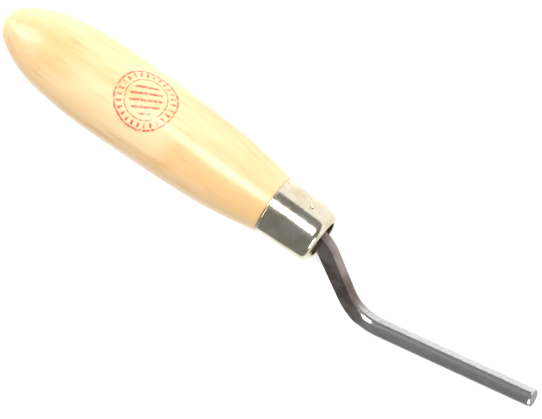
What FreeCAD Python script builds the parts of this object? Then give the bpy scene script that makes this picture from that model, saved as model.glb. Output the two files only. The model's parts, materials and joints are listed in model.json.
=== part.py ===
"""Cranked round-bar hand tool: a turned wooden handle, a metal ferrule and one forged steel shank.

Tool frame, in which the bodies are drawn: the handle's axis is X, with the butt at the origin and the
ferrule towards +X. The shank is cranked towards -Y and its centre line lies in the XY plane, which is
a plane of symmetry of all three pieces. The finished bodies are then turned as one, to lie on a flat
surface on the handle's belly and the underside of the bar. Lengths are millimetres, angles degrees.
"""
import FreeCAD, Part
import math
import os
import Sketcher

SIZES = [
    # handle, from the butt to the ferrule
    ("handle_length", 107.0),
    ("shoulder_position", 20.0),
    ("shoulder_drop", 1.7),
    ("shoulder_curve", 41.5),
    ("belly_position", 41.5),
    ("belly_radius", 14.75),
    ("taper_length", 27.0),
    ("taper_drop", 1.05),
    ("wood_over_ferrule", 0.1),
    ("wood_edge", 0.3),
    # ferrule: a drawn cap with a rounded nose, an open mouth and a rolled rim against the wood
    ("ferrule_length", 19.4),
    ("ferrule_base_radius", 10.0),
    ("ferrule_taper", 2.7),
    ("ferrule_wall", 0.9),
    ("ferrule_nose", 2.8),
    ("rim_radius", 0.3),
    ("mouth_radius", 6.15),
    ("mouth_edge", 0.25),
    ("stake_position", 11.8),
    ("stake_radius", 1.3),
    ("stake_depth", 0.35),
    # handle's spigot inside the ferrule
    ("spigot_clearance", 0.04),
    ("spigot_root_gap", 0.7),
    # shank: tang, upper bend at the ferrule's mouth, flattened neck, lower bend, round bar
    ("bar_radius", 3.175),
    ("bar_length", 65.0),
    ("bar_chamfer", 0.45),
    ("neck_length", 31.0),
    ("neck_radius", 3.5),
    ("crank_angle", 47.5),
    ("return_angle", 16.3),
    ("upper_bend", 12.0),
    ("lower_bend", 14.0),
    ("flat_thickness", 3.4),
    ("flat_end", 5.0),
    ("flat_run_out", 11.0),
    ("tang_width", 5.2),
    ("tang_length", 62.0),
    ("tang_end", 2.6),
    ("tang_point", 1.2),
    ("tang_point_length", 4.0),
    ("tang_clearance", 0.03),
    ("tang_end_gap", 3.0),
]

# Places along the tool, worked out from the sizes. Sizes.NAME is a cell of the sheet.
MOUTH = "(Sizes.handle_length + Sizes.ferrule_length)"
UPPER_TANGENT = "(Sizes.upper_bend * tan(Sizes.crank_angle / 2))"
LOWER_TURN = "(Sizes.crank_angle + Sizes.return_angle)"
LOWER_TANGENT = f"(Sizes.lower_bend * tan({LOWER_TURN} / 2))"
TANG_ROOT = f"({MOUTH} - {UPPER_TANGENT})"
TANG_SHOULDER = f"({TANG_ROOT} - Sizes.tang_length)"
WOOD_RADIUS = "(Sizes.ferrule_base_radius + Sizes.wood_over_ferrule)"
FERRULE_BORE = (
    "(Sizes.ferrule_base_radius + 2 * Sizes.rim_radius * tan(Sizes.ferrule_taper)"
    " - Sizes.ferrule_wall / cos(Sizes.ferrule_taper))"
)
SPIGOT_LENGTH = f"({TANG_ROOT} - Sizes.spigot_root_gap - Sizes.handle_length)"

START = 1
END = 2
CENTRE = 3
ORIGIN = (-1, 1)
X_AXIS = -1
Z_UP = FreeCAD.Vector(0, 0, 1)


def make_sheet(doc):
    """Put every driving size in a cell of its own, under its name."""
    sheet = doc.addObject("Spreadsheet::Sheet", "Sizes")
    for row, (name, size) in enumerate(SIZES, start=1):
        sheet.set(f"A{row}", name)
        sheet.set(f"B{row}", str(size))
        sheet.setAlias(f"B{row}", name)
    doc.recompute()
    return sheet


def number(sheet, text):
    """The present value of an expression in the sheet's names."""
    result = sheet.evalExpression(text)
    return float(getattr(result, "Value", result))


def add_body(doc, name):
    body = doc.addObject("PartDesign::Body", name)
    body.Label = name
    return body


def origin_plane(body, role):
    for feature in body.Origin.OriginFeatures:
        if feature.Role == role:
            return feature
    raise RuntimeError(f"{body.Label} has no {role}")


def add_sketch(body, name, role, along="0", across="0", turn="0"):
    """A sketch on an origin plane, moved to a place on the centre line's plane and turned about Z.

    On the XY plane the sketch keeps the tool's own X and Y. On the YZ plane its x is the tool's Y turned,
    and its normal is the direction of travel. On the XZ plane its x is that direction and its y is Z.
    """
    sketch = body.newObject("Sketcher::SketchObject", name)
    sketch.AttachmentSupport = [(origin_plane(body, role), "")]
    sketch.MapMode = "FlatFace"
    if role == "XY_Plane":
        return sketch
    sketch.AttachmentOffset = FreeCAD.Placement(
        FreeCAD.Vector(0, 0, 0), FreeCAD.Rotation(FreeCAD.Vector(0, 1, 0), 1)
    )
    places = {"YZ_Plane": ("z", along, "x", across), "XZ_Plane": ("x", along, "z", f"-({across})")}
    first, first_text, second, second_text = places[role]
    sketch.setExpression(f"AttachmentOffset.Base.{first}", first_text)
    sketch.setExpression(f"AttachmentOffset.Base.{second}", second_text)
    sketch.setExpression("AttachmentOffset.Rotation.Angle", turn)
    return sketch


def bind(sketch, sheet, kind, *refs_then_text):
    """Add a dimension to a sketch and tie it to an expression."""
    *refs, text = refs_then_text
    place = sketch.addConstraint(Sketcher.Constraint(kind, *refs, number(sheet, text)))
    sketch.setExpression(f"Constraints[{place}]", text)


def tie(sketch, kind, *refs):
    sketch.addConstraint(Sketcher.Constraint(kind, *refs))


def arc_over(left, right, radius):
    """An arc from one point to another whose centre is below them; its start is the right-hand point."""
    chord = math.hypot(right[0] - left[0], right[1] - left[1])
    depth = math.sqrt(max(radius**2 - chord**2 / 4, 0.0))
    down = ((right[1] - left[1]) / chord, -(right[0] - left[0]) / chord)
    x = (left[0] + right[0]) / 2 + down[0] * depth
    y = (left[1] + right[1]) / 2 + down[1] * depth
    circle = Part.Circle(FreeCAD.Vector(x, y, 0), Z_UP, radius)
    first = math.atan2(right[1] - y, right[0] - x)
    last = math.atan2(left[1] - y, left[0] - x)
    return Part.ArcOfCircle(circle, first, last)


def line(first, second):
    return Part.LineSegment(FreeCAD.Vector(*first, 0), FreeCAD.Vector(*second, 0))


def add_path(sketch, points):
    """Joined line segments through the points, open; returns their numbers."""
    segments = [sketch.addGeometry(line(a, b)) for a, b in zip(points, points[1:])]
    for before, after in zip(segments, segments[1:]):
        tie(sketch, "Coincident", before, END, after, START)
    return segments


def add_circle(sketch, sheet, radius, across="0"):
    """A circle on the sketch's x axis."""
    centre = FreeCAD.Vector(number(sheet, across), 0, 0)
    circle = sketch.addGeometry(Part.Circle(centre, Z_UP, number(sheet, radius)))
    bind(sketch, sheet, "Radius", circle, radius)
    tie(sketch, "PointOnObject", circle, CENTRE, X_AXIS)
    bind(sketch, sheet, "DistanceX", *ORIGIN, circle, CENTRE, across)


def add_rectangle(sketch, sheet, width, height):
    """A rectangle about the sketch's origin."""
    x = number(sheet, width) / 2
    y = number(sheet, height) / 2
    sides = add_path(sketch, [(-x, -y), (x, -y), (x, y), (-x, y), (-x, -y)])
    tie(sketch, "Coincident", sides[3], END, sides[0], START)
    for side, kind in zip(sides, ("Horizontal", "Vertical", "Horizontal", "Vertical")):
        tie(sketch, kind, side)
    tie(sketch, "Symmetric", sides[0], START, sides[2], START, *ORIGIN)
    bind(sketch, sheet, "DistanceX", sides[0], START, sides[0], END, width)
    bind(sketch, sheet, "DistanceY", sides[1], START, sides[1], END, height)


def revolve(body, name, sketch, axis, angle="360", reverse=False):
    feature = body.newObject("PartDesign::Revolution", name)
    feature.Profile = sketch
    feature.ReferenceAxis = (sketch, [axis])
    feature.Reversed = reverse
    feature.setExpression("Angle", angle)
    return feature


def loft(body, name, kind, sketches):
    """A straight-sided loft through sketches, added or cut."""
    feature = body.newObject(f"PartDesign::{kind}", name)
    feature.Profile = sketches[0]
    feature.Sections = [(sketch, [""]) for sketch in sketches[1:]]
    feature.Ruled = True
    return feature


def edge_names(shape, wanted):
    """The names of a shape's edges for which wanted(edge) is true."""
    return [f"Edge{i}" for i, edge in enumerate(shape.Edges, start=1) if wanted(edge)]


def tang_sections(body, sheet, name, clearance, end_gap):
    """The tang's root, shoulder and point, grown by a clearance on each side."""
    stations = [
        ("root", TANG_ROOT, "Sizes.tang_width", "Sizes.flat_thickness"),
        ("shoulder", TANG_SHOULDER, "Sizes.tang_end", "Sizes.tang_end"),
        (
            "point",
            f"{TANG_SHOULDER} - Sizes.tang_point_length - ({end_gap})",
            "Sizes.tang_point",
            "Sizes.tang_point",
        ),
    ]
    sketches = []
    for station, along, width, height in stations:
        sketch = add_sketch(body, f"{name}_{station}", "YZ_Plane", along)
        add_rectangle(sketch, sheet, f"{width} + 2 * {clearance}", f"{height} + 2 * {clearance}")
        sketches.append(sketch)
    return sketches


def draw_handle_outline(body, sheet):
    """Half the handle's section: butt, shoulder, belly and front taper as tangent arcs, then the spigot."""
    sketch = add_sketch(body, "handle_outline", "XY_Plane")
    belly = number(sheet, "Sizes.belly_radius")
    belly_at = number(sheet, "Sizes.belly_position")
    shoulder = (number(sheet, "Sizes.shoulder_position"), belly - number(sheet, "Sizes.shoulder_drop"))
    length = number(sheet, "Sizes.handle_length")
    taper = (
        length - number(sheet, "Sizes.taper_length"),
        belly - number(sheet, "Sizes.taper_drop"),
    )
    edge = number(sheet, "Sizes.wood_edge")
    front = (length - edge, number(sheet, WOOD_RADIUS))
    butt_side = (shoulder[0] / 5, belly / 2)
    butt = sketch.addGeometry(arc_over((0, 0), butt_side, belly / 2))
    crown = (belly_at, belly)
    back = sketch.addGeometry(arc_over(butt_side, shoulder, number(sheet, "Sizes.shoulder_curve")))
    belly_back = sketch.addGeometry(arc_over(shoulder, crown, 10 * belly))
    belly_front = sketch.addGeometry(arc_over(crown, taper, 50 * belly))
    front_taper = sketch.addGeometry(arc_over(taper, front, 12 * belly))
    arcs = [butt, back, belly_back, belly_front, front_taper]
    for before, after in zip(arcs, arcs[1:]):
        tie(sketch, "Tangent", before, START, after, END)
    tie(sketch, "Coincident", butt, END, *ORIGIN)
    tie(sketch, "PointOnObject", butt, CENTRE, X_AXIS)
    bind(sketch, sheet, "Radius", back, "Sizes.shoulder_curve")
    bind(sketch, sheet, "DistanceX", *ORIGIN, back, START, "Sizes.shoulder_position")
    bind(sketch, sheet, "DistanceY", *ORIGIN, back, START, "Sizes.belly_radius - Sizes.shoulder_drop")
    bind(sketch, sheet, "DistanceX", *ORIGIN, belly_back, START, "Sizes.belly_position")
    bind(sketch, sheet, "DistanceY", *ORIGIN, belly_back, START, "Sizes.belly_radius")
    tie(sketch, "Vertical", belly_back, CENTRE, belly_back, START)
    taper_at = "Sizes.handle_length - Sizes.taper_length"
    bind(sketch, sheet, "DistanceX", *ORIGIN, belly_front, START, taper_at)
    bind(sketch, sheet, "DistanceY", *ORIGIN, belly_front, START, "Sizes.belly_radius - Sizes.taper_drop")
    bind(sketch, sheet, "DistanceX", *ORIGIN, front_taper, START, "Sizes.handle_length - Sizes.wood_edge")
    bind(sketch, sheet, "DistanceY", *ORIGIN, front_taper, START, WOOD_RADIUS)

    root = number(sheet, f"{FERRULE_BORE} - Sizes.spigot_clearance")
    tip = length + number(sheet, SPIGOT_LENGTH)
    slope = math.tan(math.radians(number(sheet, "Sizes.ferrule_taper")))
    spigot_end = root - slope * (tip - length)
    points = [front, (length, front[1] - edge), (length, root), (tip, spigot_end), (tip, 0), (0, 0)]
    bevel, step, spigot, face, axis = add_path(sketch, points)
    tie(sketch, "Coincident", front_taper, START, bevel, START)
    tie(sketch, "Coincident", axis, END, *ORIGIN)
    tie(sketch, "Horizontal", axis)
    tie(sketch, "Vertical", step)
    tie(sketch, "Vertical", face)
    bind(sketch, sheet, "DistanceX", *ORIGIN, bevel, END, "Sizes.handle_length")
    bind(sketch, sheet, "DistanceY", bevel, END, bevel, START, "Sizes.wood_edge")
    bind(sketch, sheet, "DistanceY", *ORIGIN, step, END, f"{FERRULE_BORE} - Sizes.spigot_clearance")
    bind(sketch, sheet, "DistanceX", step, END, spigot, END, SPIGOT_LENGTH)
    bind(sketch, sheet, "DistanceY", spigot, END, spigot, START, f"{SPIGOT_LENGTH} * tan(Sizes.ferrule_taper)")
    return sketch


def make_handle(doc, sheet):
    """The turned handle, with its spigot and the tapered square hole that holds the tang."""
    body = add_body(doc, "handle")
    outline = draw_handle_outline(body, sheet)
    revolve(body, "turned_wood", outline, "H_Axis")
    doc.recompute()
    hole = tang_sections(body, sheet, "tang_hole", "Sizes.tang_clearance", "Sizes.tang_end_gap")
    body.Tip = loft(body, "tang_hole", "SubtractiveLoft", hole)
    return body, outline


def draw_ferrule_wall(body, sheet):
    """The ferrule's wall in section: rim, taper and nose outside, and the same shape one wall in."""
    sketch = add_sketch(body, "ferrule_wall", "XY_Plane")
    start = number(sheet, "Sizes.handle_length")
    end = number(sheet, MOUTH)
    base = number(sheet, "Sizes.ferrule_base_radius")
    wall = number(sheet, "Sizes.ferrule_wall")
    nose = number(sheet, "Sizes.ferrule_nose")
    rim = number(sheet, "Sizes.rim_radius")
    mouth = number(sheet, "Sizes.mouth_radius")
    bore = number(sheet, FERRULE_BORE)
    slope = math.tan(math.radians(number(sheet, "Sizes.ferrule_taper")))
    nose_at = end - nose
    side = base - slope * (nose_at - start)

    rim_circle = Part.Circle(FreeCAD.Vector(start + rim, base, 0), Z_UP, rim)
    rim_arc = sketch.addGeometry(Part.ArcOfCircle(rim_circle, 0, math.pi))
    outside = sketch.addGeometry(line((start + 2 * rim, base), (nose_at, side)))
    outer_nose = sketch.addGeometry(arc_over((nose_at, side), (end, side - nose), nose))
    points = [(end, side - nose), (end, mouth), (end - wall, mouth), (end - wall, side - nose)]
    front, lip, inner_front = add_path(sketch, points)
    inner_nose = sketch.addGeometry(arc_over((nose_at, side - wall), (end - wall, side - nose), nose - wall))
    inside = sketch.addGeometry(line((nose_at, side - wall), (start, bore)))
    base_face = sketch.addGeometry(line((start, bore), (start, base)))

    tie(sketch, "Coincident", rim_arc, START, outside, START)
    tie(sketch, "Tangent", outside, END, outer_nose, END)
    tie(sketch, "Tangent", outer_nose, START, front, START)
    tie(sketch, "Tangent", inner_front, END, inner_nose, START)
    tie(sketch, "Tangent", inner_nose, END, inside, START)
    tie(sketch, "Coincident", inside, END, base_face, START)
    tie(sketch, "Coincident", base_face, END, rim_arc, END)
    tie(sketch, "Coincident", inner_nose, CENTRE, outer_nose, CENTRE)
    tie(sketch, "Horizontal", rim_arc, START, rim_arc, END)
    tie(sketch, "Horizontal", lip)
    tie(sketch, "Vertical", front)
    tie(sketch, "Vertical", inner_front)
    tie(sketch, "Vertical", base_face)
    tie(sketch, "Parallel", inside, outside)
    tie(sketch, "Horizontal", rim_arc, CENTRE, rim_arc, END)
    bind(sketch, sheet, "Radius", rim_arc, "Sizes.rim_radius")
    bind(sketch, sheet, "Radius", outer_nose, "Sizes.ferrule_nose")
    bind(sketch, sheet, "Radius", inner_nose, "Sizes.ferrule_nose - Sizes.ferrule_wall")
    bind(sketch, sheet, "DistanceX", *ORIGIN, base_face, END, "Sizes.handle_length")
    bind(sketch, sheet, "DistanceY", *ORIGIN, base_face, END, "Sizes.ferrule_base_radius")
    bind(sketch, sheet, "DistanceX", *ORIGIN, front, END, MOUTH)
    bind(sketch, sheet, "DistanceY", *ORIGIN, front, END, "Sizes.mouth_radius")
    bind(sketch, sheet, "Angle", outside, START, X_AXIS, START, "Sizes.ferrule_taper")
    return sketch


def make_ferrule(doc, sheet):
    """The ferrule, softened at its mouth and staked in the plane of the crank, above and below."""
    body = add_body(doc, "ferrule")
    wall = revolve(body, "drawn_cap", draw_ferrule_wall(body, sheet), "H_Axis")
    doc.recompute()

    mouth_radius = number(sheet, "Sizes.mouth_radius")

    def is_mouth_edge(edge):
        return isinstance(edge.Curve, Part.Circle) and abs(edge.Curve.Radius - mouth_radius) < 1e-4

    lip = body.newObject("PartDesign::Fillet", "mouth_edge")
    lip.Base = (wall, edge_names(wall.Shape, is_mouth_edge))
    lip.setExpression("Radius", "Sizes.mouth_edge")
    doc.recompute()

    stake = body.newObject("PartDesign::SubtractiveSphere", "stake_mark")
    stake.AttachmentSupport = [(origin_plane(body, "XY_Plane"), "")]
    stake.MapMode = "FlatFace"
    stake.setExpression("Radius", "Sizes.stake_radius")
    stake.setExpression("AttachmentOffset.Base.x", "Sizes.handle_length + Sizes.stake_position")
    surface = (
        "Sizes.ferrule_base_radius"
        " - (Sizes.stake_position - 2 * Sizes.rim_radius) * tan(Sizes.ferrule_taper)"
    )
    stake.setExpression("AttachmentOffset.Base.y", f"{surface} + Sizes.stake_radius - Sizes.stake_depth")
    second = body.newObject("PartDesign::Mirrored", "second_stake_mark")
    second.Originals = [stake]
    second.MirrorPlane = (origin_plane(body, "XZ_Plane"), [""])
    body.Tip = second
    return body


def draw_flat_cutter(body, sheet):
    """Side view, along the neck, of what is pressed away above one flat: a straight run and a run-out."""
    sketch = add_sketch(body, "flat_cutter", "XZ_Plane", MOUTH, "0", "-Sizes.crank_angle")
    behind = number(sheet, "Sizes.upper_bend")
    flat_end = number(sheet, "Sizes.neck_length - Sizes.flat_end")
    low = number(sheet, "Sizes.flat_thickness") / 2
    high = number(sheet, "Sizes.neck_radius + Sizes.bar_chamfer")
    run_out = number(sheet, "Sizes.flat_run_out")
    rise = math.acos(1 - (high - low) / run_out)
    circle = Part.Circle(FreeCAD.Vector(flat_end, low + run_out, 0), Z_UP, run_out)
    ramp = sketch.addGeometry(Part.ArcOfCircle(circle, -math.pi / 2, rise - math.pi / 2))
    top_end = flat_end + run_out * math.sin(rise)
    top, back, flat = add_path(sketch, [(top_end, high), (-behind, high), (-behind, low), (flat_end, low)])
    tie(sketch, "Coincident", ramp, END, top, START)
    tie(sketch, "Tangent", flat, END, ramp, START)
    tie(sketch, "Horizontal", top)
    tie(sketch, "Vertical", back)
    tie(sketch, "Horizontal", flat)
    bind(sketch, sheet, "Radius", ramp, "Sizes.flat_run_out")
    bind(sketch, sheet, "DistanceX", *ORIGIN, flat, END, "Sizes.neck_length - Sizes.flat_end")
    bind(sketch, sheet, "DistanceY", *ORIGIN, flat, END, "Sizes.flat_thickness / 2")
    bind(sketch, sheet, "DistanceX", back, END, *ORIGIN, "Sizes.upper_bend")
    bind(sketch, sheet, "DistanceY", *ORIGIN, back, START, "Sizes.neck_radius + Sizes.bar_chamfer")
    return sketch


def make_shank(doc, sheet):
    """The forging, from the bar's end back to the tang's point."""
    body = add_body(doc, "shank")
    neck_x = "cos(Sizes.crank_angle)"
    neck_y = "(-sin(Sizes.crank_angle))"
    bar_x = "cos(Sizes.return_angle)"
    bar_y = "sin(Sizes.return_angle)"
    knee_x = f"({MOUTH} + Sizes.neck_length * {neck_x})"
    knee_y = f"(Sizes.neck_length * {neck_y})"
    bar_start_x = f"({knee_x} + {LOWER_TANGENT} * {bar_x})"
    bar_start_y = f"({knee_y} + {LOWER_TANGENT} * {bar_y})"
    neck_end = f"(Sizes.neck_length - {LOWER_TANGENT})"

    bar_section = add_sketch(body, "bar_section", "YZ_Plane", bar_start_x, bar_start_y, "Sizes.return_angle")
    add_circle(bar_section, sheet, "Sizes.bar_radius")
    bar = body.newObject("PartDesign::Pad", "bar")
    bar.Profile = bar_section
    bar.setExpression("Length", f"Sizes.bar_length - {LOWER_TANGENT}")
    doc.recompute()

    direction = math.radians(number(sheet, "Sizes.return_angle"))
    bar_end = number(sheet, knee_x) + number(sheet, "Sizes.bar_length") * math.cos(direction)

    def is_end_circle(edge):
        return isinstance(edge.Curve, Part.Circle) and abs(edge.Curve.Center.x - bar_end) < 1e-4

    chamfer = body.newObject("PartDesign::Chamfer", "bar_end_chamfer")
    chamfer.Base = (bar, edge_names(bar.Shape, is_end_circle))
    chamfer.setExpression("Size", "Sizes.bar_chamfer")
    doc.recompute()

    lower = add_sketch(
        body,
        "lower_bend_section",
        "YZ_Plane",
        f"{bar_start_x} - Sizes.lower_bend * {bar_y}",
        f"{bar_start_y} + Sizes.lower_bend * {bar_x}",
        "Sizes.return_angle",
    )
    add_circle(lower, sheet, "Sizes.bar_radius", "-Sizes.lower_bend")
    revolve(body, "lower_bend", lower, "V_Axis", LOWER_TURN, reverse=True)

    neck_sections = []
    for name, along, radius in (
        ("neck_lower", neck_end, "Sizes.bar_radius"),
        ("neck_upper", UPPER_TANGENT, "Sizes.neck_radius"),
    ):
        place = (f"{MOUTH} + {along} * {neck_x}", f"{along} * {neck_y}")
        section = add_sketch(body, name, "YZ_Plane", *place, "-Sizes.crank_angle")
        add_circle(section, sheet, radius)
        neck_sections.append(section)
    loft(body, "neck", "AdditiveLoft", neck_sections)

    upper = add_sketch(body, "upper_bend_section", "YZ_Plane", TANG_ROOT, "-Sizes.upper_bend")
    add_circle(upper, sheet, "Sizes.neck_radius", "Sizes.upper_bend")
    revolve(body, "upper_bend", upper, "V_Axis", "Sizes.crank_angle", reverse=True)
    doc.recompute()

    flat = body.newObject("PartDesign::Pocket", "neck_flat")
    flat.Profile = draw_flat_cutter(body, sheet)
    flat.SideType = "Symmetric"
    flat.setExpression("Length", "2 * (Sizes.neck_radius + Sizes.upper_bend)")
    other = body.newObject("PartDesign::Mirrored", "second_neck_flat")
    other.Originals = [flat]
    other.MirrorPlane = (origin_plane(body, "XY_Plane"), [""])
    body.Tip = other
    doc.recompute()

    body.Tip = loft(body, "tang", "AdditiveLoft", tang_sections(body, sheet, "tang", "0", "0"))
    return body


def resting_rotation(sheet, outline):
    """Turn the tool to lie on a flat surface: the bar level and touching along its length, and the handle
    touching at its lowest point. The heading keeps the handle's axis along +X.
    """
    back = math.radians(number(sheet, "Sizes.return_angle"))
    crank = math.radians(number(sheet, "Sizes.crank_angle"))
    neck = number(sheet, "Sizes.neck_length")
    knee = FreeCAD.Vector(number(sheet, MOUTH) + neck * math.cos(crank), -neck * math.sin(crank), 0)
    bar_radius = number(sheet, "Sizes.bar_radius")
    samples = 400
    wood = [point for edge in outline.Shape.Edges for point in edge.discretize(samples)]

    def up_at(lean):
        side = math.sin(lean)
        return FreeCAD.Vector(-side * math.sin(back), side * math.cos(back), math.cos(lean))

    def bar_above_handle(lean):
        up = up_at(lean)
        across = math.hypot(up.y, up.z)
        handle_low = min(point.x * up.x - point.y * across for point in wood)
        return knee.dot(up) - bar_radius - handle_low

    low, high = 0.0, math.radians(80)
    while high - low > 1e-12:
        middle = (low + high) / 2
        if bar_above_handle(middle) > 0:
            low = middle
        else:
            high = middle
    up = up_at(low)
    ahead = FreeCAD.Vector(1, 0, 0) - up * up.x
    ahead.normalize()
    left = up.cross(ahead)
    matrix = FreeCAD.Matrix(
        ahead.x, ahead.y, ahead.z, 0, left.x, left.y, left.z, 0, up.x, up.y, up.z, 0, 0, 0, 0, 1
    )
    return FreeCAD.Placement(matrix)


def place_on_surface(bodies, turn):
    """Turn the bodies together and bring the middle of their underside to the origin."""
    for body in bodies:
        body.Placement = turn
    whole = FreeCAD.BoundBox()
    for body in bodies:
        whole.add(body.Shape.optimalBoundingBox(False))
    shift = FreeCAD.Vector(-whole.Center.x, -whole.Center.y, -whole.ZMin)
    for body in bodies:
        body.Placement = FreeCAD.Placement(shift, turn.Rotation)


def check(doc, bodies):
    """Stop if any object failed or any piece is missing or not one valid solid."""
    for thing in doc.Objects:
        if "Invalid" in thing.State or "Error" in thing.State:
            raise RuntimeError(f"{thing.Label} failed: {thing.State}")
        if thing.TypeId == "Sketcher::SketchObject" and not thing.FullyConstrained:
            raise RuntimeError(f"{thing.Label} is not fully constrained")
    for body in bodies:
        if body.Shape.isNull() or not body.Shape.isValid():
            raise RuntimeError(f"{body.Label} has no valid shape")
        if len(body.Shape.Solids) != 1:
            raise RuntimeError(f"{body.Label} is {len(body.Shape.Solids)} solids")


def main():
    doc = FreeCAD.newDocument("cranked_tool")
    sheet = make_sheet(doc)
    handle, outline = make_handle(doc, sheet)
    ferrule = make_ferrule(doc, sheet)
    shank = make_shank(doc, sheet)
    doc.recompute()
    bodies = [handle, ferrule, shank]
    check(doc, bodies)
    place_on_surface(bodies, resting_rotation(sheet, outline))
    os.makedirs("parts", exist_ok=True)
    for body in bodies:
        body.Shape.exportStep(f"parts/{body.Label}.step")
        box = body.Shape.BoundBox
        spans = (box.XLength, box.YLength, box.ZLength)
        print(body.Label, "volume", round(body.Shape.Volume, 2), "box", [round(s, 2) for s in spans])


main()
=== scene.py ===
"""Camera, light, floor and surface finishes for a cranked hand tool.

Lengths are metres in the part's own frame, and the three CAD pieces keep their shapes and places. The
finishes measure from the handle's butt: along the handle, towards the back of the crank, and along the
normal of the plane that the crank lies in.
"""
import json
import math

import bpy
import numpy as np
from mathutils import Matrix, Vector


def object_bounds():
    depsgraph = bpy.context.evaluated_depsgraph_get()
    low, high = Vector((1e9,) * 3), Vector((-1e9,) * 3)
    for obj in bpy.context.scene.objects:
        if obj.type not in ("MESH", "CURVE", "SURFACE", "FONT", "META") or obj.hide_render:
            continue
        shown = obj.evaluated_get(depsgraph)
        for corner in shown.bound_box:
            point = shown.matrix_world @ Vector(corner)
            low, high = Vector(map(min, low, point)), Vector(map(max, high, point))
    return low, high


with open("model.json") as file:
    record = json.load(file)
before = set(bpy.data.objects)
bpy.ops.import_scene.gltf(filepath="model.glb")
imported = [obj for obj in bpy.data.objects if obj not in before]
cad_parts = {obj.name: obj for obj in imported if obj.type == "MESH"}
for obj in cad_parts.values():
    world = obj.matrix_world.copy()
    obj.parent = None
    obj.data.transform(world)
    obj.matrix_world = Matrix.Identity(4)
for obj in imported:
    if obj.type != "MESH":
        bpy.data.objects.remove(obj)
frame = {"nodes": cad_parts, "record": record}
cad_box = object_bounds()

MM = 0.001

# Camera: angles in degrees, lens and sensor in millimetres, and its aim from the middle of the CAD box.
VIEW_AZIMUTH = 160.06
VIEW_ELEVATION = 50.66
VIEW_ROLL = 126.71
VIEW_DISTANCE = 1.0
VIEW_NEAREST = 0.01
LENS = 207.6
SENSOR = 36.0
AIM_OFFSET = Vector((0.00132, 0.00104, -0.0057))

# Softboxes: name, azimuth and elevation in degrees, distance, width, height, and watts.
SOFTBOXES = (
    ("front_softbox", 168, 48, 1.5, 0.75, 0.5, 16),
    ("left_softbox", 250, 30, 1.4, 0.8, 0.6, 12),
    ("low_softbox", 75, 18, 1.3, 0.7, 0.3, 7),
)
SKY_COLOUR = (0.95, 0.97, 1.0, 1)
SKY_STRENGTH = 0.32

# Floor: half its side, how far it lies under the tool, and its finish.
FLOOR_HALF = 3.0
FLOOR_GAP = 0.05 * MM
FLOOR_COLOUR = (0.88, 0.88, 0.88, 1)
FLOOR_ROUGHNESS = 0.9
FLOOR_SPECULAR = 0.1
FLOOR_GLOW_COLOUR = (1, 1, 1, 1)
FLOOR_GLOW = 0.42

# The worn mark: where its middle is, along from the butt and round from the crank's back, and its radius.
STAMP_ALONG = 0.0562
STAMP_ROUND = math.radians(18.5)
STAMP_RADIUS = 0.0106
STAMP_TICKS = 26.0
STAMP_BAR_SPACING = 2.3 * MM
STAMP_WOBBLE = 0.0006

WOOD_PALE = (0.90, 0.66, 0.37, 1)
WOOD_HONEY = (0.80, 0.50, 0.22, 1)
WOOD_AMBER = (0.52, 0.25, 0.08, 1)
INK_RED = (0.60, 0.045, 0.03, 1)

PLATE_PALE = (0.66, 0.62, 0.54, 1)
PLATE_STAINED = (0.52, 0.46, 0.32, 1)
PLATE_SPOT = (0.22, 0.17, 0.12, 1)

FORGED_BROWN = (0.30, 0.25, 0.23, 1)
FORGED_DARK = (0.15, 0.115, 0.105, 1)
RUST = (0.22, 0.08, 0.035, 1)
BAR_BRIGHT = (0.60, 0.585, 0.58, 1)
BAR_DULL = (0.47, 0.455, 0.45, 1)
BAR_END_GREY = (0.27, 0.25, 0.25, 1)

# Where the polish fades in, ahead of the bar's straight part, and how ragged that edge is.
POLISH_FROM = 0.011
POLISH_TO = 0.004
POLISH_RAGGED = 0.006


def vertices(node):
    """The points of a CAD piece, one row each."""
    mesh = frame["nodes"][node].data
    flat = np.zeros(len(mesh.vertices) * 3)
    mesh.vertices.foreach_get("co", flat)
    return flat.reshape(-1, 3)


def handle_axis(wood, ferrule_middle):
    """Unit vector from the butt towards the ferrule, along the direction that the wood is longest in."""
    directions = np.linalg.eigh(np.cov((wood - wood.mean(0)).T))[1]
    axis = Vector(directions[:, -1])
    wood_middle = Vector((wood.min(0) + wood.max(0)) / 2)
    if axis.dot(ferrule_middle - wood_middle) < 0:
        axis.negate()
    return axis.normalized()


WOOD = vertices("handle")
FERRULE = vertices("ferrule")
FERRULE_MIDDLE = Vector((FERRULE.min(0) + FERRULE.max(0)) / 2)

BAR = next(m for m in frame["record"]["mounts"] if m["name"] == "bar")
BAR_AXIS = Vector(BAR["axis"])
BAR_MIDDLE = Vector(BAR["pos_m"])
BAR_HALF = BAR_AXIS * (BAR["dims"]["length_mm"] * MM / 2)

# The tool's own directions: along the handle, square to the crank's plane, and away from the crank.
AHEAD = handle_axis(WOOD, FERRULE_MIDDLE)
NORMAL = AHEAD.cross(BAR_AXIS).normalized()
BACK = NORMAL.cross(AHEAD)
REACH = (WOOD - np.array(FERRULE_MIDDLE)) @ np.array(AHEAD)
BUTT = FERRULE_MIDDLE + AHEAD * float(REACH.min())
HANDLE_LENGTH = float(REACH.max() - REACH.min())


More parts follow.
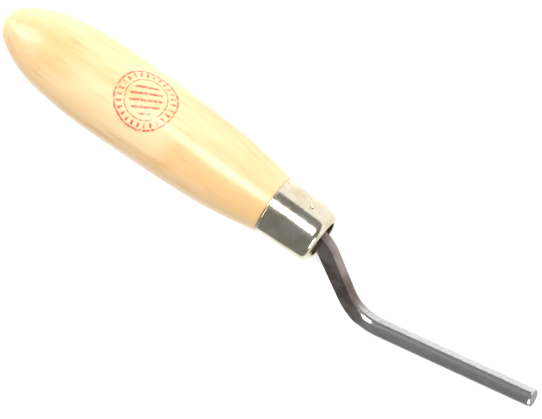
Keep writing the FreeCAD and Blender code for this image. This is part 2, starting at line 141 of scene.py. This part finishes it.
class Nodes:
    """Short calls for building a material's node tree."""

    def __init__(self, name):
        self.material = bpy.data.materials.new(name)
        self.material.use_nodes = True
        self.tree = self.material.node_tree
        self.shader = self.tree.nodes["Principled BSDF"]

    def put(self, value, socket):
        """Link a node's output to the socket, or set the socket to a plain value."""
        if isinstance(value, bpy.types.NodeSocket):
            self.tree.links.new(value, socket)
        else:
            socket.default_value = value

    def math(self, operation, a, b=0.0):
        node = self.tree.nodes.new("ShaderNodeMath")
        node.operation = operation
        self.put(a, node.inputs[0])
        self.put(b, node.inputs[1])
        return node.outputs[0]

    def times(self, a, b):
        return self.math("MULTIPLY", a, b)

    def inverse(self, mask):
        """A mask with its 0 and 1 exchanged."""
        return self.math("SUBTRACT", 1.0, mask)

    def hypotenuse(self, a, b):
        return self.math("SQRT", self.math("ADD", self.times(a, a), self.times(b, b)))

    def dot(self, vector, constant):
        node = self.tree.nodes.new("ShaderNodeVectorMath")
        node.operation = "DOT_PRODUCT"
        self.put(vector, node.inputs[0])
        node.inputs[1].default_value = constant
        return node.outputs["Value"]

    def ramp(self, value, low, high):
        """0 below low, 1 above high, smooth between."""
        node = self.tree.nodes.new("ShaderNodeMapRange")
        node.interpolation_type = "SMOOTHSTEP"
        self.put(value, node.inputs["Value"])
        node.inputs["From Min"].default_value = low
        node.inputs["From Max"].default_value = high
        return node.outputs["Result"]

    def band(self, value, middle, half_width, soft):
        """1 within half_width of middle, 0 outside, with an edge that is soft to each side."""
        away = self.math("ABSOLUTE", self.math("SUBTRACT", value, middle))
        return self.inverse(self.ramp(away, half_width - soft, half_width + soft))

    def spread(self, value, low, high):
        """A 0 to 1 value spread linearly over low to high."""
        node = self.tree.nodes.new("ShaderNodeMapRange")
        self.put(value, node.inputs["Value"])
        node.inputs["To Min"].default_value = low
        node.inputs["To Max"].default_value = high
        return node.outputs["Result"]

    def noise(self, vector, scale, detail=3.0, rough=0.5, distortion=0.0):
        node = self.tree.nodes.new("ShaderNodeTexNoise")
        self.put(vector, node.inputs["Vector"])
        node.inputs["Scale"].default_value = scale
        node.inputs["Detail"].default_value = detail
        node.inputs["Roughness"].default_value = rough
        node.inputs["Distortion"].default_value = distortion
        return node.outputs["Fac"]

    def combine(self, x, y, z):
        node = self.tree.nodes.new("ShaderNodeCombineXYZ")
        for value, socket in zip((x, y, z), node.inputs):
            self.put(value, socket)
        return node.outputs[0]

    def mix(self, factor, first, second):
        node = self.tree.nodes.new("ShaderNodeMix")
        node.data_type = "RGBA"
        self.put(factor, node.inputs[0])
        self.put(first, node.inputs[6])
        self.put(second, node.inputs[7])
        return node.outputs[2]

    def bump(self, height, strength, distance):
        node = self.tree.nodes.new("ShaderNodeBump")
        node.inputs["Strength"].default_value = strength
        node.inputs["Distance"].default_value = distance
        self.put(height, node.inputs["Height"])
        self.tree.links.new(node.outputs[0], self.shader.inputs["Normal"])

    def place(self):
        """The place from the butt, and its parts along the handle, the crank's back and its normal."""
        coordinates = self.tree.nodes.new("ShaderNodeTexCoord")
        node = self.tree.nodes.new("ShaderNodeVectorMath")
        node.operation = "SUBTRACT"
        self.tree.links.new(coordinates.outputs["Object"], node.inputs[0])
        node.inputs[1].default_value = BUTT
        place = node.outputs[0]
        return place, self.dot(place, AHEAD), self.dot(place, BACK), self.dot(place, NORMAL)


def stamp_ink(n, along, round_handle):
    """Two rings, ticks between them and slanted bars inside, with no letters."""
    wander = n.math("SUBTRACT", n.noise(n.combine(along, round_handle, 0.0), 260.0), 0.5)
    radius = n.math("ADD", n.hypotenuse(along, round_handle), n.times(wander, STAMP_WOBBLE))
    angle = n.math("ARCTAN2", round_handle, along)
    outer = n.band(radius, STAMP_RADIUS - 0.3 * MM, 0.36 * MM, 0.12 * MM)
    inner = n.band(radius, 0.66 * STAMP_RADIUS, 0.2 * MM, 0.1 * MM)
    rings = n.math("MAXIMUM", outer, inner)
    tick = n.ramp(n.math("SINE", n.times(angle, STAMP_TICKS)), 0.1, 0.5)
    ticks = n.times(tick, n.band(radius, 0.83 * STAMP_RADIUS, 0.85 * MM, 0.12 * MM))
    slant = n.math("ADD", n.times(along, 0.5), n.times(round_handle, 0.87))
    bars = n.ramp(n.math("SINE", n.times(slant, 2 * math.pi / STAMP_BAR_SPACING)), 0.25, 0.6)
    middle = n.inverse(n.ramp(radius, 0.5 * STAMP_RADIUS, 0.53 * STAMP_RADIUS))
    return n.math("MAXIMUM", rings, n.math("MAXIMUM", ticks, n.times(bars, middle)))


def stamp_mask(n, along, back, normal):
    """A generic round ink mark on one side of the handle, worn by noise."""
    turn = n.math("SUBTRACT", n.math("ARCTAN2", normal, back), STAMP_ROUND)
    from_middle = n.math("SUBTRACT", along, STAMP_ALONG)
    round_handle = n.times(turn, n.hypotenuse(back, normal))
    ink = stamp_ink(n, from_middle, round_handle)
    worn = n.ramp(n.noise(n.combine(from_middle, round_handle, 0.0), 900.0, 4.0, 0.7), 0.34, 0.55)
    patch = n.ramp(n.noise(n.combine(from_middle, round_handle, 0.3), 130.0, 2.0), 0.3, 0.5)
    one_side = n.inverse(n.ramp(n.math("ABSOLUTE", turn), 1.3, 1.4))
    return n.times(n.times(ink, one_side), n.times(worn, n.spread(patch, 0.45, 1.0)))


def wood_material():
    """Lacquered, close-grained turned wood with a worn red mark."""
    n = Nodes("lacquered_wood")
    _, along, back, normal = n.place()
    fibre = n.combine(n.times(along, 0.07), back, normal)
    cloud = n.combine(n.times(along, 0.3), back, normal)
    broad = n.noise(cloud, 75.0, 3.0, 0.55, 0.4)
    grain = n.noise(fibre, 620.0, 4.0, 0.6)
    fleck = n.noise(fibre, 2600.0, 2.0, 0.6)
    near_ferrule = n.ramp(along, 0.62 * HANDLE_LENGTH, 0.9 * HANDLE_LENGTH)
    colour = n.mix(n.ramp(broad, 0.3, 0.72), WOOD_PALE, WOOD_HONEY)
    colour = n.mix(n.times(n.ramp(grain, 0.5, 0.78), 0.35), colour, WOOD_AMBER)
    colour = n.mix(n.times(n.ramp(fleck, 0.6, 0.8), 0.22), colour, WOOD_AMBER)
    colour = n.mix(n.times(near_ferrule, 0.35), colour, WOOD_HONEY)
    colour = n.mix(n.times(stamp_mask(n, along, back, normal), 0.9), colour, INK_RED)
    n.put(colour, n.shader.inputs["Base Color"])
    n.put(n.spread(n.noise(cloud, 240.0), 0.3, 0.48), n.shader.inputs["Roughness"])
    n.shader.inputs["Coat Weight"].default_value = 0.35
    n.shader.inputs["Coat Roughness"].default_value = 0.22
    n.bump(n.math("ADD", grain, n.times(fleck, 0.5)), 0.12, 0.0002)
    return n.material


def ferrule_material():
    """Warm bright plating, with draw marks round it and a few dull spots."""
    n = Nodes("warm_plating")
    place, along, back, normal = n.place()
    turn = n.math("ARCTAN2", normal, back)
    rings = n.noise(n.combine(n.times(along, 5.0), n.times(turn, 0.004), 0.0), 900.0, 3.0)
    spots = n.noise(place, 480.0, 4.0, 0.6)
    stain = n.noise(place, 110.0, 3.0, 0.6)
    colour = n.mix(n.ramp(stain, 0.3, 0.7), PLATE_PALE, PLATE_STAINED)
    colour = n.mix(n.times(n.ramp(spots, 0.62, 0.74), 0.5), colour, PLATE_SPOT)
    dull = n.times(rings, n.ramp(spots, 0.2, 0.9))
    n.put(colour, n.shader.inputs["Base Color"])
    n.put(n.spread(dull, 0.13, 0.34), n.shader.inputs["Roughness"])
    n.shader.inputs["Metallic"].default_value = 1.0
    n.bump(n.math("ADD", rings, spots), 0.08, 0.0001)
    return n.material


def shank_material():
    """Brown forged steel at the neck, polished along the bar, and duller on the bar's end."""
    n = Nodes("forged_and_polished_steel")
    place, along, back, normal = n.place()
    on_bar = n.dot(place, BAR_AXIS)
    bar_start = (BAR_MIDDLE - BAR_HALF - BUTT).dot(AHEAD)
    bar_end = (BAR_MIDDLE + BAR_HALF - BUTT).dot(BAR_AXIS)
    ragged = n.times(n.math("SUBTRACT", n.noise(place, 300.0), 0.5), POLISH_RAGGED)
    polish = n.ramp(n.math("ADD", along, ragged), bar_start - POLISH_FROM, bar_start - POLISH_TO)
    unpolished = n.inverse(polish)
    end = n.ramp(on_bar, bar_end + 0.2 * MM, bar_end + 0.44 * MM)
    streak = n.noise(n.combine(n.times(on_bar, 0.03), back, normal), 2200.0, 3.0)
    scale = n.noise(place, 420.0, 5.0, 0.65)
    blotch = n.noise(place, 120.0, 3.0)
    rust = n.ramp(n.noise(place, 1300.0, 3.0, 0.7), 0.66, 0.76)
    forged = n.mix(n.ramp(blotch, 0.35, 0.65), FORGED_BROWN, FORGED_DARK)
    forged = n.mix(n.times(rust, 0.5), forged, RUST)
    bright = n.mix(n.ramp(streak, 0.3, 0.7), BAR_BRIGHT, BAR_DULL)
    colour = n.mix(end, n.mix(polish, forged, bright), BAR_END_GREY)
    rough_forged = n.times(n.spread(scale, 0.32, 0.62), unpolished)
    rough_bright = n.times(n.spread(streak, 0.12, 0.27), polish)
    rough = n.math("MAXIMUM", n.math("ADD", rough_forged, rough_bright), n.times(end, 0.5))
    n.put(colour, n.shader.inputs["Base Color"])
    n.put(rough, n.shader.inputs["Roughness"])
    n.shader.inputs["Metallic"].default_value = 1.0
    n.bump(n.math("ADD", n.times(scale, unpolished), n.times(streak, 0.06)), 0.5, 0.00035)
    return n.material


def dress(node, material):
    """Give a CAD piece its material, through its slots."""
    piece = frame["nodes"][node]
    for slot in piece.material_slots:
        slot.material = material
    if not piece.material_slots:
        piece.data.materials.append(material)


def link(name, data):
    """A new object of the scene that holds this data."""
    made = bpy.data.objects.new(name, data)
    bpy.context.scene.collection.objects.link(made)
    return made


def add_floor():
    """A plain pale sheet under the whole tool."""
    corners = [(x * FLOOR_HALF, y * FLOOR_HALF, 0) for x, y in ((-1, -1), (1, -1), (1, 1), (-1, 1))]
    mesh = bpy.data.meshes.new("floor")
    mesh.from_pydata(corners, [], [(0, 1, 2, 3)])
    floor = link("floor", mesh)
    floor.location.z = cad_box[0][2] - FLOOR_GAP
    n = Nodes("pale_floor")
    n.shader.inputs["Base Color"].default_value = FLOOR_COLOUR
    n.shader.inputs["Roughness"].default_value = FLOOR_ROUGHNESS
    n.shader.inputs["Specular IOR Level"].default_value = FLOOR_SPECULAR
    n.shader.inputs["Emission Color"].default_value = FLOOR_GLOW_COLOUR
    n.shader.inputs["Emission Strength"].default_value = FLOOR_GLOW
    mesh.materials.append(n.material)


def direction(azimuth, elevation):
    """From the object towards a viewer at this azimuth, where azimuth 0 looks along +Y."""
    turn = math.radians(azimuth)
    rise = math.radians(elevation)
    return Vector((math.sin(turn) * math.cos(rise), -math.cos(turn) * math.cos(rise), math.sin(rise)))


def add_softbox(name, azimuth, elevation, distance, width, height, watts):
    """A rectangular area light that faces the object's origin."""
    data = bpy.data.lights.new(name, "AREA")
    data.shape = "RECTANGLE"
    data.size = width
    data.size_y = height
    data.energy = watts
    towards = direction(azimuth, elevation)
    light = link(name, data)
    light.location = towards * distance
    light.rotation_euler = towards.to_track_quat("Z", "Y").to_euler()


def add_world():
    """Even, faintly blue light from all round."""
    world = bpy.data.worlds.new("studio")
    world.use_nodes = True
    background = world.node_tree.nodes["Background"]
    background.inputs["Color"].default_value = SKY_COLOUR
    background.inputs["Strength"].default_value = SKY_STRENGTH
    bpy.context.scene.world = world


def add_camera():
    """The camera, turned about its line of sight by VIEW_ROLL."""
    aim = (Vector(cad_box[0]) + Vector(cad_box[1])) / 2 + AIM_OFFSET
    towards = direction(VIEW_AZIMUTH, VIEW_ELEVATION)
    level = Vector((0, 0, 1)).cross(towards).normalized()
    roll = math.radians(VIEW_ROLL)
    up = level * math.sin(roll) + towards.cross(level) * math.cos(roll)
    turn = Matrix((up.cross(towards), up, towards)).transposed()
    data = bpy.data.cameras.new("camera")
    data.lens = LENS
    data.sensor_width = SENSOR
    data.clip_start = VIEW_NEAREST
    camera = link("camera", data)
    camera.matrix_world = Matrix.Translation(aim + towards * VIEW_DISTANCE) @ turn.to_4x4()
    bpy.context.scene.camera = camera


add_camera()
add_world()
add_floor()
for softbox in SOFTBOXES:
    add_softbox(*softbox)
dress("handle", wood_material())
dress("ferrule", ferrule_material())
dress("shank", shank_material())
bpy.context.scene.view_settings.view_transform = "Standard"
